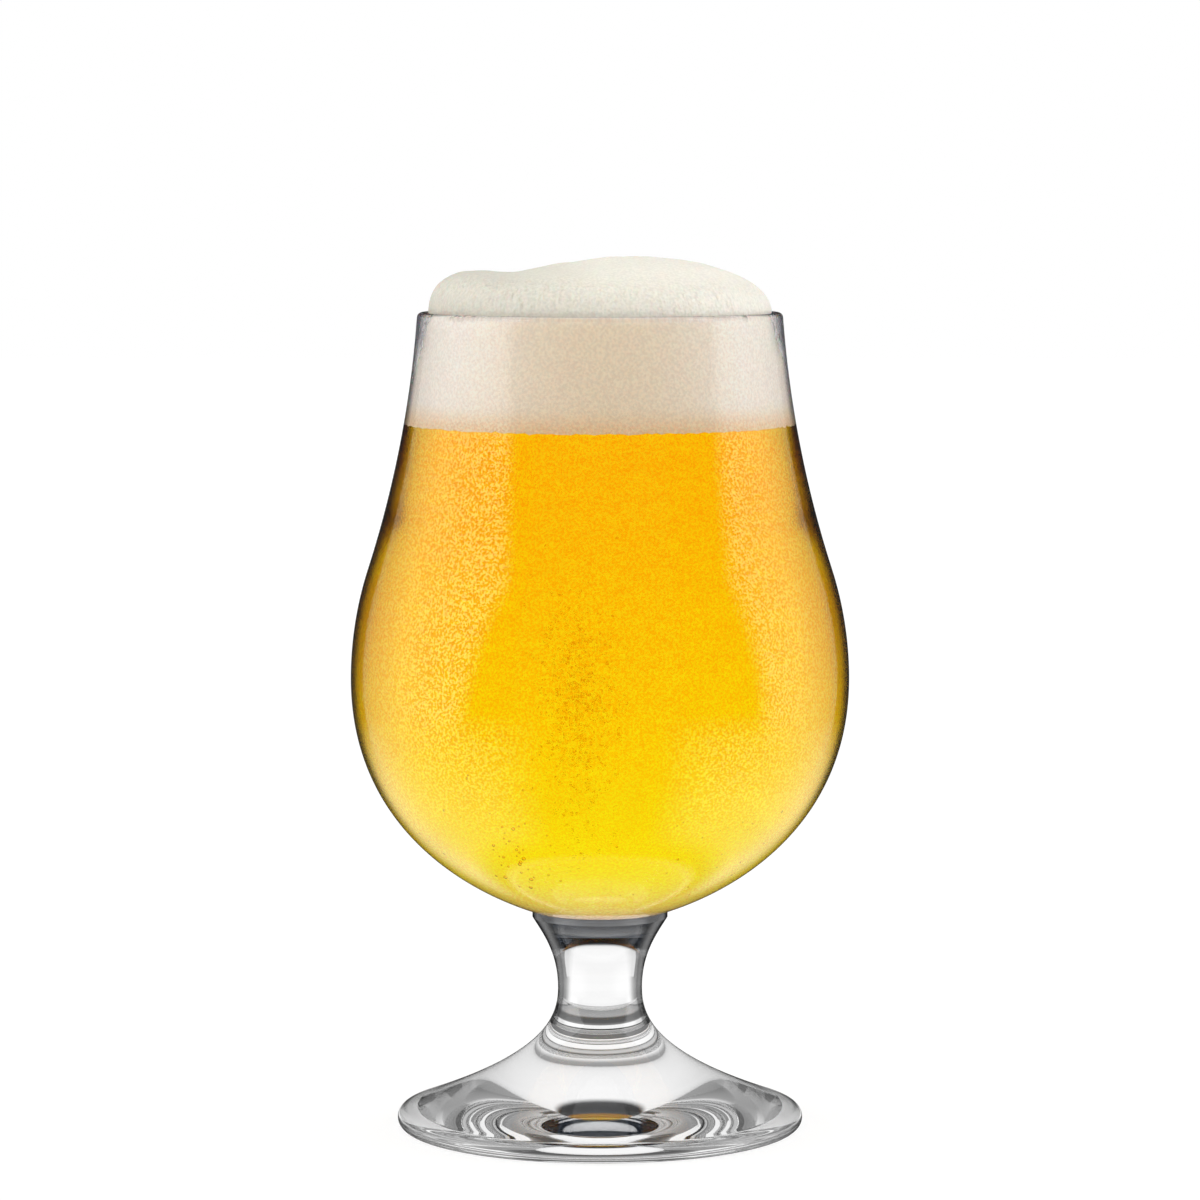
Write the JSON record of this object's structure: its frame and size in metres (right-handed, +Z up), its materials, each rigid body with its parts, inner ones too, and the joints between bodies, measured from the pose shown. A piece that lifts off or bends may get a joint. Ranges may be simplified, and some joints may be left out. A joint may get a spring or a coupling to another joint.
{
  "type": "tulip beer glass",
  "caption": "Tulip-shaped beer glass: a round bowl narrowing to a tall neck, on a short flared stem and a round foot, filled with golden beer under a crown of foam.",
  "frame": {"origin": "centre of the foot's contact ring, on the table", "axes": "+Z up along the axis of the glass, +X to the right as the picture shows it, +Y away from the viewer"},
  "size_m": [0.0943, 0.0942, 0.1651],
  "materials": {
    "clear_glass": "clear, fire-polished",
    "golden_beer": "clear golden liquid with fine bubbles",
    "foam": "matt, fine-bubbled cream froth"
  },
  "bodies": {
    "root": {"bowl": "clear_glass", "stem": "clear_glass", "foot": "clear_glass", "beer": "golden_beer", "foam_head": "foam"}
  },
  "joints": []
}
